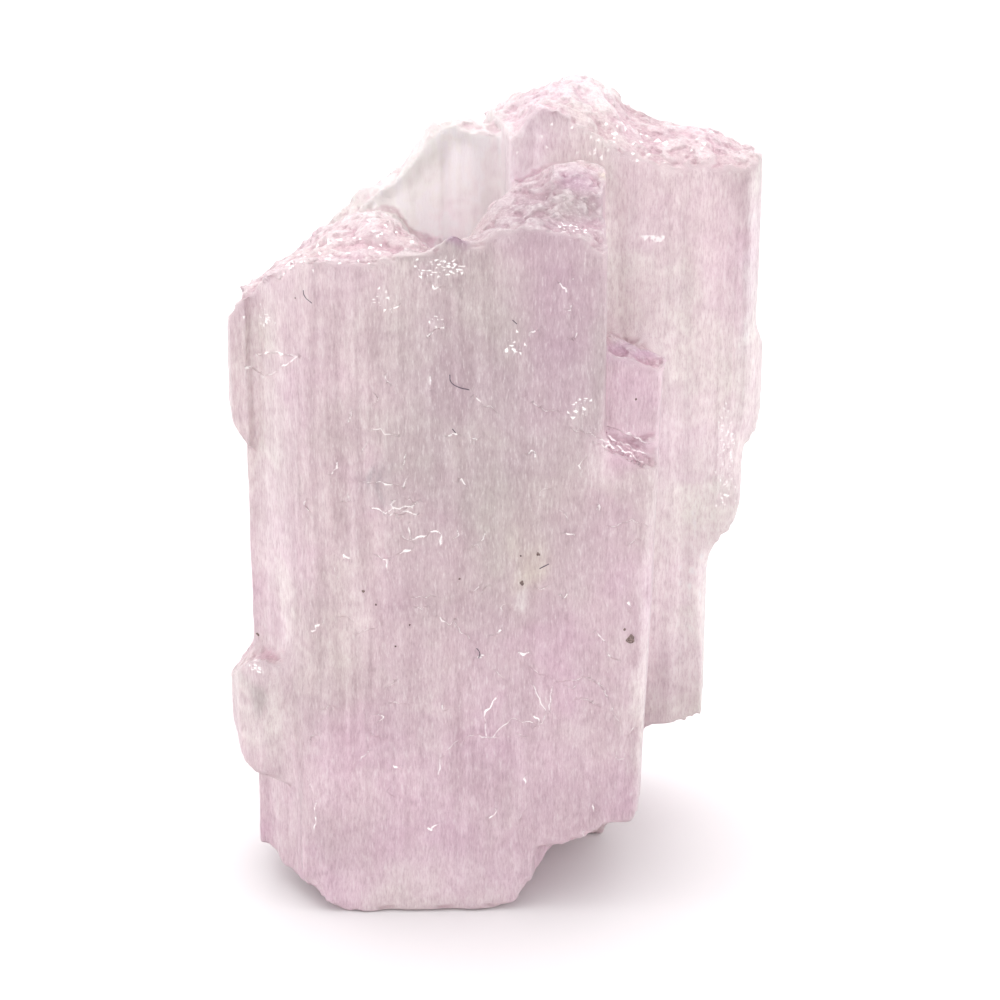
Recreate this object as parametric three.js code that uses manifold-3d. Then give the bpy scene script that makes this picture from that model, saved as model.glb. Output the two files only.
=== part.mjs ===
// A kunzite crystal (pink spodumene): a stout sheaf of parallel blades that grew together as one piece.
// The blades are striated along their length, broken off ragged at the top, and end at different heights
// below, where the longest of them stand on a worn flat foot.
// Millimetres. +Z runs up along the blades and -Y towards the broad front face. The crystal is drawn with
// that face at y = 0 and its foot at z = 0, and is then moved so that the origin is at the middle of the
// bottom of its box.

import * as THREE from "three";
import { mergeVertices } from "three/addons/utils/BufferGeometryUtils.js";
import Module from "manifold-3d";

const wasm = await Module();
wasm.setup();

// The striations: flat strips of about this width, each let in by up to this depth. They keep clear of a
// blade's corners by the margin, so that none crosses the next side. Their ends are out of step by up to
// this share of a width, none is narrower than the least, and a step this wide leads to the next one.
const STRIP_WIDTH = 0.85;
const STRIP_DEPTH = 0.2;
const STRIP_MARGIN = 0.5;
const STRIP_UNEVEN = 0.35;
const STRIP_LEAST = 0.1;
const STRIP_STEP = 0.05;

// The broken surfaces: facets of about this size, thrown up or down by up to this much and sideways by up
// to this share of their size.
const FACET_SIZE = 0.95;
const FACET_THROW = 0.22;
const FACET_DRIFT = 0.3;

// A block that breaks a blade off reaches this far to each side, up and down.
const REACH_LEFT = -15;
const REACH_RIGHT = 15;
const REACH_FRONT = -2;
const REACH_BACK = 20;
const REACH_UP = 50;

// The planes that the blades share, seen from above.
const FRONT = 0;
const FLAKE_BACK = 1.7;
const HEART_FRONT = 1.2;
const HEART_BACK = 11.8;
const SHEAF_FRONT = 8;
const SHEAF_BACK = 16.6;
const BEVEL_X = -8.4;
const LEFT_X = -12;
const LEG_X = 1.95;
const NOTCH_X = 5.2;

// Broken surfaces are given as lines from front to back: a depth y and the line's [x, z] points from left
// to right.
const FRONT_TOP = [
  {
    y: 0,
    line: [[-11, 32.9], [-9.1, 34], [-6.6, 33.9], [-4.3, 34.3], [-2.6, 34.3], [-2.2, 35.3], [-1.3, 35.2],
      [-0.9, 34.8], [1.1, 35.8], [3.5, 35.3], [5.2, 34.1]],
  },
  {
    y: 2,
    line: [[-11, 32.9], [-8, 33.8], [-5.7, 33.6], [-2.5, 33.9], [1.2, 35.6], [5.2, 35]],
  },
];

// Each blade has a plan, its corners [x, y] seen from above and counter-clockwise, and a top and a foot,
// which are broken surfaces. A blade with a lean grows wider to the right on the way up, by that much for
// each millimetre. A foot that passes below z = 0 is part of the flat that the crystal stands on.
const BLADES = {
  // The body of the crystal, behind the front face, with a hollow in its top behind the front rim.
  heart: {
    plan: [
      [BEVEL_X - HEART_FRONT, HEART_FRONT],
      [NOTCH_X, HEART_FRONT],
      [NOTCH_X + 0.1, 9],
      [3, HEART_BACK],
      [-9.2, HEART_BACK],
      [LEFT_X - 0.2, 8.6],
      [LEFT_X, BEVEL_X - LEFT_X],
    ],
    top: [
      { y: 0, line: [[-12.4, 31], [-11, 32.9], [-9.1, 34], [-2.5, 34.2], [1.1, 35.6], [5.2, 34.8]] },
      { y: 2.2, line: [[-12.3, 31.2], [-9.1, 33.4], [-2.5, 33.4], [-0.8, 34.5], [2.7, 35.7], [5.2, 35]] },
      {
        y: 4.5,
        line: [[-12.2, 31], [-8.1, 33.7], [-5.2, 34.7], [-4.2, 34.4], [-3.2, 32.8], [-1.6, 32.8],
          [-0.8, 34.8], [0.4, 36.2], [2.3, 36.7], [3, 37.5], [4.5, 37.7], [5.2, 36.9]],
      },
      {
        y: 8.5,
        line: [[-12, 30], [-8.3, 33], [-6.3, 34], [-5, 33.6], [-3.2, 31.8], [-0.6, 31.6], [1, 35.4],
          [5.2, 36]],
      },
      { y: 12, line: [[-12, 28.5], [-8, 31.8], [-5, 33.4], [-3, 31.5], [5.2, 31]] },
    ],
    foot: [
      { y: 0, line: [[-12, 1.8], [-8.2, 0.4], [-6.6, -0.4], [0.2, -0.4], [1.9, 2], [2.4, 3.2], [5.4, 4.6]] },
      { y: 5, line: [[-12, 2.4], [-10, 1.1], [-8, -0.4], [1.6, -0.4], [3, 1.6], [5.4, 3.4]] },
      { y: 12, line: [[-12, 5], [-9, 2.4], [-6.5, -0.3], [5.4, -0.5]] },
    ],
  },

  // The front face is a thick flake over the heart. Its left part is the leg that reaches the ground.
  frontLeg: {
    plan: [
      [BEVEL_X, FRONT],
      [LEG_X, FRONT],
      [LEG_X, FLAKE_BACK],
      [BEVEL_X - 1, FLAKE_BACK],
      [BEVEL_X - 1.3, 1.3],
    ],
    top: FRONT_TOP,
    foot: [
      { y: 0, line: [[-10, 2], [-8.2, 0.5], [-6.6, 0.1], [-5, -0.4], [-0.9, -0.2], [0.9, 0.4], [2, 1.9]] },
      { y: 2, line: [[-10, 1.6], [-8.2, 0.2], [-6.6, -0.4], [0.2, -0.4], [2, 1.5]] },
    ],
  },
  frontMiddle: {
    plan: [
      [1, FRONT],
      [NOTCH_X, FRONT],
      [NOTCH_X, FLAKE_BACK],
      [1, FLAKE_BACK],
    ],
    top: FRONT_TOP,
    foot: [
      { y: 0, line: [[1, 3], [1.9, 3.2], [3.2, 3.7], [5.4, 4.6]] },
      { y: 2, line: [[1, 2.8], [5.4, 4.3]] },
    ],
  },

  // The lower right of the front face, which ends upwards in a slanting ledge.
  frontRight: {
    plan: [
      [2.6, FRONT],
      [6.75, FRONT],
      [6.95, 0.5],
      [6.95, FLAKE_BACK],
      [2.6, FLAKE_BACK],
    ],
    lean: 0.034,
    top: [
      { y: 0, line: [[3.7, 25.7], [5.9, 24.3], [7.9, 23.4]] },
      { y: 1.2, line: [[3.7, 25.6], [5.9, 25], [8, 24.9]] },
    ],
    foot: [
      { y: 0, line: [[2.6, 3.6], [4.8, 4.3], [6.6, 5.1], [7.2, 6]] },
      { y: 2, line: [[2.6, 3.3], [7.2, 5.7]] },
    ],
  },

  // The foot of the front face at the left, where it reaches out past the bevel.
  frontToe: {
    plan: [
      [-9.7, FRONT + 0.15],
      [-7, FRONT + 0.15],
      [-7, 2.4],
      [-9.8, 2.4],
    ],
    top: [
      { y: 0, line: [[-10, 12.2], [-7, 15.5]] },
      { y: 3, line: [[-10, 13.5], [-7, 16]] },
    ],
    foot: [
      { y: 0, line: [[-10, 2.3], [-8.2, 0.4], [-6.6, -0.2]] },
      { y: 3, line: [[-10, 1.6], [-8.2, 0.2], [-6.6, -0.3]] },
    ],
  },

  // The strip at the right of the heart, which ends in a rounded shelf under the notch.
  rightStrip: {
    plan: [
      [4.2, HEART_FRONT],
      [6.9, HEART_FRONT],
      [7.1, 2],
      [7.1, 9],
      [4.2, 9],
    ],
    lean: 0.032,
    top: [
      { y: 1.2, line: [[5, 29.6], [5.7, 28.9], [7, 28.7], [7.9, 28]] },
      { y: 2.7, line: [[5, 29.8], [5.7, 29.1], [6.6, 29.1], [7.5, 28.8], [8, 28.1]] },
      { y: 9, line: [[5, 27.6], [8, 26]] },
    ],
    foot: [
      { y: 1, line: [[4.2, 4.2], [7.2, 5.8]] },
      { y: 5, line: [[4.2, 3], [7.2, 4.8]] },
      { y: 9, line: [[4.2, 1.2], [7.2, 2.8]] },
    ],
  },

  // The tall blades behind the heart, with the crystal's highest point and the rear of its foot.
  sheaf: {
    plan: [
      [0.7, SHEAF_FRONT],
      [10.8, SHEAF_FRONT],
      [11, 13],
      [9.2, 15.8],
      [2, SHEAF_BACK],
      [-0.8, 15],
      [0, 11.4],
    ],
    top: [
      { y: 8, line: [[0.6, 37.2], [1.4, 39], [2.4, 39.3], [5, 37.6], [6.9, 36.4], [9.8, 36.5], [11, 36.3]] },
      { y: 11, line: [[0.4, 37.8], [2.4, 39.2], [4.6, 38.9], [7.1, 37.3], [10, 37.3], [12.4, 36.2]] },
      {
        y: 13,
        line: [[-0.4, 38], [0.8, 38.4], [1.4, 38.2], [3.1, 39.4], [4, 40], [5.3, 39.4], [6.8, 37.4],
          [11, 36.7]],
      },
      { y: 17, line: [[-0.8, 34.6], [1, 36], [4.4, 37.4], [6, 36], [9, 35], [11, 33.8]] },
    ],
    foot: [
      { y: 8, line: [[0.4, -0.5], [5.4, -0.5], [6.4, 1.4], [6.9, 5], [7.6, 6.2], [10.1, 6.4], [10.8, 7.2]] },
      { y: 12.5, line: [[-0.6, -0.5], [5, -0.5], [6.4, 1.6], [7, 5.4], [8.6, 6.6], [10.9, 8]] },
      { y: 17, line: [[-0.8, 6.5], [1, 3.2], [5, 2.6], [7, 6.4], [9, 9.5], [11, 12]] },
    ],
  },

  // Two laths at the right of the sheaf, each ending higher up than the one before.
  rightLath: {
    plan: [
      [9.4, SHEAF_FRONT + 0.3],
      [11.7, SHEAF_FRONT + 0.3],
      [12.1, 9.2],
      [12, 12.6],
      [10.9, 14.8],
      [9.4, 14.8],
    ],
    lean: 0.02,
    top: [
      { y: 8, line: [[9.6, 36.5], [10.6, 36.6], [12.5, 36]] },
      { y: 12, line: [[9.6, 37.3], [10.6, 37.1], [12.5, 36]] },
      { y: 15, line: [[9.6, 34.4], [12.5, 33]] },
    ],
    foot: [
      { y: 8, line: [[9.6, 14.4], [11, 15.3], [11.8, 15.6], [12.5, 18.4]] },
      { y: 15, line: [[9.6, 17], [12.4, 20.5]] },
    ],
  },
  outerLath: {
    plan: [
      [11.4, SHEAF_FRONT + 0.7],
      [12.4, SHEAF_FRONT + 0.7],
      [12.7, 9.4],
      [12.6, 12],
      [11.4, 13.2],
    ],
    lean: 0.008,
    top: [
      { y: 8, line: [[11.4, 36.4], [12.2, 36.1], [12.8, 36.4]] },
      { y: 13, line: [[11.4, 36.4], [13.2, 35.8]] },
    ],
    foot: [
      { y: 8, line: [[11.4, 21.2], [12.6, 21.6], [13.1, 24]] },
      { y: 13, line: [[11.4, 22.6], [13.2, 25]] },
    ],
  },

  // A clear blade behind the heart at the left, which rises to a dome beside the sheaf.
  clearBlade: {
    plan: [
      [-8.6, 10.2],
      [0.9, 10.2],
      [0.6, 15],
      [-6.4, 14.4],
      [-8.6, 12.6],
    ],
    top: [
      { y: 10.2, line: [[-8.6, 31.8], [-6.3, 34], [-4.8, 35], [-2.9, 37.3], [-2.2, 37.8], [0.8, 36.6]] },
      { y: 11.6, line: [[-8.6, 32], [-6.4, 34.4], [-4.9, 35], [-2.9, 37.6], [-1.9, 38.2], [0.2, 37.2]] },
      { y: 15, line: [[-8.6, 30.2], [-4, 33.8], [-2, 35.6], [0.8, 36]] },
    ],
    foot: [
      { y: 10.2, line: [[-8.6, 5.4], [-5, 3], [1, 1]] },
      { y: 15, line: [[-8.6, 12], [-6, 9.2], [-2, 7.4], [1, 5.6]] },
    ],
  },

  // Two ribs on the back of the crystal.
  backRib: {
    plan: [
      [3, 15.4],
      [7.2, 15.4],
      [6.8, 16.9],
      [4, 17.4],
    ],
    top: [{ y: 15, line: [[3, 35.4], [7.2, 32.6]] }],
    foot: [{ y: 15, line: [[3, 7.2], [7.2, 11.5]] }],
  },
  clearRib: {
    plan: [
      [-5.6, 13],
      [-2, 13],
      [-2.4, 15.2],
      [-4.6, 15.4],
    ],
    top: [{ y: 13, line: [[-5.6, 27.4], [-2, 31.6]] }],
    foot: [{ y: 13, line: [[-5.6, 15.4], [-2, 11]] }],
  },

  // Short stubs fused to the outside: a shoulder and a knob at the left, and a knob at the right.
  leftShoulder: {
    plan: [
      [-11.6, 2.7],
      [-10.6, 8.2],
      [-12.4, 8.4],
      [-12.85, 4.6],
      [-12.5, 3.4],
    ],
    top: [
      { y: 2, line: [[-12.9, 29.8], [-12.1, 31.3], [-11, 32.2]] },
      { y: 9, line: [[-12.9, 28.6], [-11, 30.6]] },
    ],
    foot: [
      { y: 2, line: [[-12.9, 26.4], [-12.6, 25.6], [-12.1, 24.4], [-11, 23.4]] },
      { y: 9, line: [[-12.9, 24], [-11, 21.6]] },
    ],
  },
  leftKnob: {
    plan: [
      [-10, 1.5],
      [-10, 6.4],
      [-12.6, 6],
      [-13.2, 4.2],
      [-12.7, 2.6],
      [-11.4, 1.6],
    ],
    top: [
      { y: 1.5, line: [[-13.2, 11.4], [-12.6, 12.6], [-11.8, 13.2], [-10, 13.4]] },
      { y: 6.5, line: [[-13.2, 10.8], [-12, 12.6], [-10, 13]] },
    ],
    foot: [
      { y: 1.5, line: [[-13.2, 9], [-12.8, 7.4], [-12, 6.7], [-10, 6.2]] },
      { y: 6.5, line: [[-13.2, 8.4], [-10, 5.8]] },
    ],
  },
  rightKnob: {
    plan: [
      [12, 9.2],
      [13, 9.4],
      [13.45, 10.4],
      [13.3, 12],
      [12, 12.6],
    ],
    top: [{ y: 9, line: [[12, 30], [12.8, 28.6], [13.4, 25.4]] }],
    foot: [{ y: 9, line: [[12, 21.2], [13, 21.7], [13.2, 22.4], [13.45, 24]] }],
  },
};

// A repeatable number from -1 to 1 for a pair of whole numbers.
function chance(i, j, seed) {
  let mixed = Math.imul(i + 1013, 374761393) ^ Math.imul(j + 2741, 668265263) ^ Math.imul(seed + 17, 974711);
  mixed = Math.imul(mixed ^ (mixed >>> 13), 1274126177);
  return ((mixed ^ (mixed >>> 16)) >>> 0) / 2 ** 31 - 1;
}

// A three.js geometry as a closed solid.
function solidOf(geometry) {
  geometry.deleteAttribute("normal");
  geometry.deleteAttribute("uv");
  const merged = mergeVertices(geometry, 1e-4);
  const mesh = new wasm.Mesh({
    numProp: 3,
    vertProperties: merged.getAttribute("position").array,
    triVerts: new Uint32Array(merged.index.array),
  });
  return new wasm.Manifold(mesh);
}

// A solid as a three.js geometry.
function geometryOf(solid) {
  const { vertProperties, triVerts } = solid.getMesh();
  return new THREE.BufferGeometry()
    .setAttribute("position", new THREE.BufferAttribute(vertProperties, 3))
    .setIndex(new THREE.BufferAttribute(triVerts, 1));
}

// The outline of a plan with each side broken into strips of uneven width, let in by uneven depths.
function striated(plan, seed) {
  const points = [];
  plan.forEach(([x, y], side) => {
    const corner = new THREE.Vector2(x, y);
    const heading = new THREE.Vector2(...plan[(side + 1) % plan.length]).sub(corner);
    const length = heading.length();
    heading.normalize();
    const inward = new THREE.Vector2(-heading.y, heading.x);
    const strips = Math.floor((length - 2 * STRIP_MARGIN) / STRIP_WIDTH);
    points.push(corner);
    let start = STRIP_MARGIN;
    for (let strip = 0; strip < strips; strip++) {
      const share = (strip + 1 + STRIP_UNEVEN * chance(strip, side, seed)) / strips;
      const planned = strip + 1 < strips ? length * share : length - STRIP_MARGIN;
      const end = Math.max(planned, start + STRIP_LEAST);
      const depth = STRIP_DEPTH * chance(side, strip, seed + 1) ** 2;
      for (const at of [start, end - STRIP_STEP]) {
        points.push(corner.clone().addScaledVector(heading, at).addScaledVector(inward, depth));
      }
      start = end;
    }
  });
  return new THREE.Shape(points);
}

// The value at a key in a list of [key, value] pairs in rising order, in proportion between two of them.
function along(pairs, key) {
  const next = pairs.findIndex((pair) => pair[0] >= key);
  if (next <= 0) return next === 0 ? pairs[0][1] : pairs.at(-1)[1];
  const [[k0, v0], [k1, v1]] = pairs.slice(next - 1, next + 1);
  return THREE.MathUtils.mapLinear(key, k0, k1, v0, v1);
}

// The block of everything above a broken surface, or below it. Each vertex of the surface is thrown out of
// line, so that its facets are uneven.
function beyond(lines, upwards, seed) {
  const width = REACH_RIGHT - REACH_LEFT;
  const depth = REACH_BACK - REACH_FRONT;
  const columns = Math.round(width / FACET_SIZE);
  const rows = Math.round(depth / FACET_SIZE);
  const block = new THREE.BoxGeometry(width, depth, 1, columns, rows, 1);
  block.translate((REACH_LEFT + REACH_RIGHT) / 2, (REACH_FRONT + REACH_BACK) / 2, 0);
  const place = block.getAttribute("position");
  for (let vertex = 0; vertex < place.count; vertex++) {
    if (place.getZ(vertex) > 0 === upwards) {
      place.setZ(vertex, upwards ? REACH_UP : -REACH_UP);
      continue;
    }
    const column = Math.round((place.getX(vertex) - REACH_LEFT) / FACET_SIZE);
    const row = Math.round((place.getY(vertex) - REACH_FRONT) / FACET_SIZE);
    const x = place.getX(vertex) + FACET_DRIFT * FACET_SIZE * chance(column, row, seed);
    const y = place.getY(vertex) + FACET_DRIFT * FACET_SIZE * chance(column, row, seed + 1);
    const level = along(lines.map((line) => [line.y, along(line.line, x)]), y);
    place.setXYZ(vertex, x, y, level + FACET_THROW * chance(column, row, seed + 2));
  }
  return solidOf(block);
}

// Spread a column's right side to the right on the way up, less and less towards its left side.
function spread(column, lean) {
  column.computeBoundingBox();
  const { min, max } = column.boundingBox;
  const place = column.getAttribute("position");
  for (let vertex = 0; vertex < place.count; vertex++) {
    const x = place.getX(vertex);
    const share = (x - min.x) / (max.x - min.x);
    place.setX(vertex, x + lean * share * place.getZ(vertex));
  }
}

// One blade: its striated plan drawn up along Z, spread, and broken off at both ends.
function bladeSolid({ plan, top, foot, lean = 0 }, seed) {
  const column = new THREE.ExtrudeGeometry(striated(plan, seed), {
    depth: 2 * REACH_UP,
    bevelEnabled: false,
  });
  column.translate(0, 0, -REACH_UP);
  spread(column, lean);
  return solidOf(column)
    .subtract(beyond(top, true, seed + 5))
    .subtract(beyond(foot, false, seed + 9));
}

// The floor that the foot is worn flat against.
function floorSolid() {
  const floor = new THREE.BoxGeometry(REACH_UP, REACH_UP, REACH_UP);
  floor.translate(0, (REACH_FRONT + REACH_BACK) / 2, -REACH_UP / 2);
  return solidOf(floor);
}

// The crystal: every blade joined to the others in one solid.
function crystalGeometry() {
  const blades = Object.values(BLADES).map((blade, number) => bladeSolid(blade, 20 * number));
  const geometry = geometryOf(blades.reduce((whole, blade) => whole.add(blade)).subtract(floorSolid()));
  geometry.computeBoundingBox();
  const { min, max } = geometry.boundingBox;
  return geometry.translate(-(min.x + max.x) / 2, -(min.y + max.y) / 2, -min.z);
}

const kunzite = new THREE.MeshStandardMaterial({
  color: 0xd8bcc8,
  roughness: 0.3,
  metalness: 0,
  transparent: true,
  opacity: 0.7,
});

const crystal = new THREE.Mesh(crystalGeometry(), kunzite);
crystal.name = "crystal";

const specimen = new THREE.Group();
specimen.add(crystal);

export default specimen;
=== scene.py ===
import math

import bmesh
import bpy
import numpy as np
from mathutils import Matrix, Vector, noise
from mathutils.bvhtree import BVHTree


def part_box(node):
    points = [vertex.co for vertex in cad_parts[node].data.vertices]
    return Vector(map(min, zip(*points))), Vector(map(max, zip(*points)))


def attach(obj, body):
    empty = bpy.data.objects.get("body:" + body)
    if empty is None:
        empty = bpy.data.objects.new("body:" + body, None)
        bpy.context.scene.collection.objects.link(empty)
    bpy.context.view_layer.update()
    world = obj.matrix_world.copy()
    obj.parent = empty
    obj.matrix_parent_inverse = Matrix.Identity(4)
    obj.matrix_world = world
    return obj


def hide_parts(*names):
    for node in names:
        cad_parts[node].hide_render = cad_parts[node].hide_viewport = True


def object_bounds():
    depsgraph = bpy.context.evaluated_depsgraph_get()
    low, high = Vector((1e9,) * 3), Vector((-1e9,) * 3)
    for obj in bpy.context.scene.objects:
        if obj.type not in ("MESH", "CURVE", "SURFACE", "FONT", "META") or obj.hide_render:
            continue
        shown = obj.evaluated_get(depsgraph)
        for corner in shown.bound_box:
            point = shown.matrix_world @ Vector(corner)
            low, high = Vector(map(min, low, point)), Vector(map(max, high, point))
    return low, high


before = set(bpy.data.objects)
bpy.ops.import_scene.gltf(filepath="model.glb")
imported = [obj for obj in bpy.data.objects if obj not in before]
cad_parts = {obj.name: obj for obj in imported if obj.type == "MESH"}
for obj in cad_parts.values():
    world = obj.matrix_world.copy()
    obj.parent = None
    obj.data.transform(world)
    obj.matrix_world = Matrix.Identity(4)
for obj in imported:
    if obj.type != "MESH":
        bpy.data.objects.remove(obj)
cad_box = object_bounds()

MM = 0.001

# Fineness of the surface before it is thinned out, the triangles that are kept before the finest details are
# cut into it, and how far a surface faces the front, as its normal's Y, to stay as fine as it is. Corners of
# the solid that are closer than the last are one.
VOXEL = 0.16 * MM
KEPT_TRIANGLES = 140_000
FINE_FACING = -0.5
WELD_WITHIN = 0.001 * MM

# Worn edges: how often the surface is smoothed, the least share of that which stays, and the period of the
# wear and the levels of its noise between which it grows. The whole surface is let in a little, so that the
# dust on it stays within the solid's box.
WEAR_ROUNDS = 14
WEAR_LEAST = 0.2
WEAR_PERIOD = 1.3 * MM
WEAR_LEVELS = (-0.3, 0.4)
LET_IN = 0.04 * MM

# Soft patches in which the solid's strips and edges are eased far more: middle and half sizes in
# millimetres, and the rounds of smoothing.
EASED = {
    "back face": ((9.3, -0.5, 24), (3, 2.6, 13)),
    "left bevel": ((-9.4, -7.8, 18), (1.3, 1.6, 14)),
    "front": ((-2, -8.7, 17), (6.5, 1, 14)),
}
EASE_ROUNDS = 120

# A surface that leans from upright by more than the first share counts as partly broken, and past the second
# as wholly broken. A face that is broken by the third share or more is shaded flat. The flat that the
# crystal stands on is kept clear of any relief up to this height.
BROKEN_FROM = 0.25
BROKEN_FULL = 0.6
FACETED_FROM = 0.5
FOOT_CLEAR = 0.15 * MM

# Striations on the upright faces: period across and along the blades, and height. The terraces among them
# have their own periods and throw, in flat treads this far apart, whose rises take this share of a tread.
STRIATIONS = [
    (1.6 * MM, 22 * MM, 0.02 * MM),
    (0.7 * MM, 13 * MM, 0.025 * MM),
    (0.42 * MM, 6 * MM, 0.018 * MM),
]
TERRACE_PERIOD = (1.1 * MM, 24 * MM)
TERRACE_THROW = 0.1 * MM
TERRACE_STEP = 0.035 * MM
TERRACE_RISE = 0.25

# Grain of the broken surfaces: period and height. Half of it is gathered into little cliffs of this height,
# whose rises take this share of a tread.
FRACTURE = [
    (2.1 * MM, 0.22 * MM),
    (0.95 * MM, 0.18 * MM),
    (0.5 * MM, 0.11 * MM),
    (0.3 * MM, 0.07 * MM),
]
CLIFF_STEP = 0.16 * MM
CLIFF_RISE = 0.25

# Edges of thin flakes that broke away from the front and left faces, as [x, z] points in millimetres. The
# face to the right of each line, walking along it, is let in by the step and rises again over the fade. The
# mesh is made finer this near to an edge, and the rim of an edge carries a painted glint over this width.
FLAKE_EDGES = {
    "lower step": [(-2.9, 7.7), (-2.8, 8.5), (-2.2, 9.3), (-1.2, 9.8), (-0.3, 9.6), (0.1, 10.2), (0.8, 10.8),
        (1.2, 10.5), (2.2, 10.5), (2.3, 11.2), (1.7, 12.5)],
    "lower loop": [(-0.1, 11.8), (-0.6, 11), (-0.6, 9.8)],
    "right arc": [(2.5, 11.2), (2.7, 12.6), (3, 12.8), (4.3, 12.9), (5.1, 12.5), (5.3, 11.9)],
    "right tail": [(5.6, 11.3), (5.8, 10.7)],
    "inner arc": [(3.8, 11.7), (4.3, 11.7), (4.7, 11.5)],
    "zigzag": [(-2.8, 16.1), (-2.3, 15.7), (-2.1, 15.9), (-1.8, 15.3), (-1.3, 15)],
    "curved flake": [(-3.8, 22), (-4.3, 21.7), (-4.9, 21.7), (-5.3, 21.5), (-5.9, 21.7)],
    "under the flake": [(-3.8, 21.4), (-4.1, 21.5), (-5, 21.4)],
    "cup": [(-2.7, 19.9), (-2.7, 20.4), (-2.9, 20.6), (-4, 20.1), (-4.2, 20.2), (-4.2, 20.8)],
    "upper dash": [(-3.9, 17.1), (-3.2, 17.2)],
    "lower dash": [(-3.9, 16.6), (-3.6, 16.5), (-3.4, 16.6)],
    "left dash": [(-6.7, 15.3), (-6, 15.5)],
    "vee": [(-6.3, 23.1), (-4.6, 22.9), (-4.4, 22.8), (-4.3, 23.2)],
    "left scoop": [(-9.3, 29), (-10.5, 27.8), (-11.1, 27.3), (-11.9, 27.8)],
    "left scoop top": [(-9.4, 29), (-10.7, 28.7), (-11.4, 28.3)],
    "small step": [(-5.8, 25.7), (-5.5, 25.7), (-5.3, 25.5), (-4.7, 25.4)],
    "corner flake": [(-10.4, 32.5), (-10.1, 32.5), (-9.3, 33.5), (-8.6, 33.8)],
    "notch line": [(1.7, 27), (2.2, 26.7), (2.7, 26.6)],
    "notch hook": [(3.5, 25.8), (3.8, 25.6), (4.4, 25.5)],
    "right glint": [(5.4, 20.8), (6.4, 21.2), (7, 20.9)],
    "low right glint": [(6.3, 19.9), (6.7, 20.2)],
    "low flute": [(-9.4, 7.6), (-8.9, 6.3), (-9, 4.6)],
    "upper ridge": [(5.2, 25.5), (6.2, 25.1), (7.1, 24.7)],
    "middle ridge": [(4.4, 25.4), (5.6, 24.8), (7, 24.2)],
    "lower ridge": [(4.6, 25), (5.8, 24.5), (6.8, 24)],
}
FLAKE_STEP = 0.06 * MM
FLAKE_FADE = 0.8 * MM
FLAKE_NEAR = 0.22 * MM
FLAKE_GLINT_RIM = 0.032 * MM

# The faces that have flakes lie in front of this depth and face the front by more than this, as the normal's
# Y. The edges waver by this much with this period. The gaps in the painted glints along their rims have a
# period of their own, and noise levels between which a rim's glint grows to its full width.
FLAKE_FACE_DEPTH = -5.5 * MM
FLAKE_FACING = -0.3
FLAKE_WOBBLE = 0.13 * MM
FLAKE_WOBBLE_PERIOD = 0.35 * MM
FLAKE_GAP_PERIOD = 0.3 * MM
FLAKE_GAP_LEVELS = (-0.6, 0.5)

# Smaller flake edges strewn between them: how many, the [x, z] corners of the field in millimetres, the legs
# of each edge, the shortest and longest leg in millimetres, and how far the edge bends at a corner.
SMALL_FLAKES = 80
SMALL_FIELD = ((-9.5, 4), (6.5, 33))
SMALL_LEGS = 3
SMALL_LEG = (0.06, 0.25)
SMALL_BEND = 0.7
SMALL_SEED = 21

# Painted glints, where tiny cleavage flakes catch the light, in soft patches: middle and half sizes in
# millimetres, and strength. A spot is a painted glint where noise with these periods passes the level less
# the strength, and the strength passes the least. The mesh is made finer where the strength passes the next
# value, and finer again past the last.
SPARKLES = {
    "under the knob": ((-2.6, -8.5, 33.6), (1.8, 1, 0.6), 0.62),
    "left shoulder": ((-11, -6.1, 30.3), (0.9, 1, 0.8), 0.55),
    "upper middle": ((-2.8, -8.7, 30.9), (0.7, 0.6, 0.7), 0.55),
    "upper left": ((-5.3, -8.6, 32.1), (0.7, 0.6, 0.6), 0.55),
    "by the lint": ((0.8, -8.6, 29.9), (0.6, 0.6, 0.7), 0.55),
    "notch corner": ((3.9, -8.7, 26.8), (0.7, 0.6, 0.9), 0.55),
    "lump glint": ((-11.8, -6.9, 12.6), (0.5, 0.6, 0.4), 0.8),
    "middle tier": ((3.4, -7.9, 35.2), (1, 0.7, 0.4), 0.6),
    "ledge": ((-7, -5, 34), (4.5, 4, 1.5), 0.36),
    "back band": ((7, 0.5, 37.3), (7, 3, 1.2), 0.38),
    "pale flecks": ((11.4, -0.4, 21), (0.7, 1.5, 4), 0.5),
    "chip": ((7.5, -0.7, 32.6), (0.7, 0.7, 0.2), 1.2),
}
SPARKLE_PERIODS = (0.17 * MM, 0.17 * MM, 0.08 * MM)
SPARKLE_LEVEL = 0.85
SPARKLE_LEAST = 0.1
SPARKLE_FINE = 0.42
SPARKLE_FINER = 0.46

# Colours of the crystal's own substance; the patches below also use some of them to paint light and shade.
BODY = (0.8, 0.66, 0.69)
PALE = (0.93, 0.865, 0.85)
VEIL = (0.57, 0.475, 0.485)
MAUVE = (0.52, 0.4, 0.45)
LILAC = (0.765, 0.575, 0.665)
ROSE = (0.86, 0.74, 0.76)
PINK = (0.84, 0.63, 0.73)
PURPLE = (0.6, 0.41, 0.55)
GREEN_GREY = (0.5, 0.455, 0.445)
GREY = (0.36, 0.33, 0.34)
CREAM = (0.72, 0.66, 0.54)
WHITE = (1, 0.99, 0.97)
YELLOW = (0.98, 0.93, 0.7)

# Broken ends are a little darker and pinker: partly their own colour, partly painted shade that tones down
# the strong light on the upward faces.
BROKEN_SHADE = (0.91, 0.82, 0.84)
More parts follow.
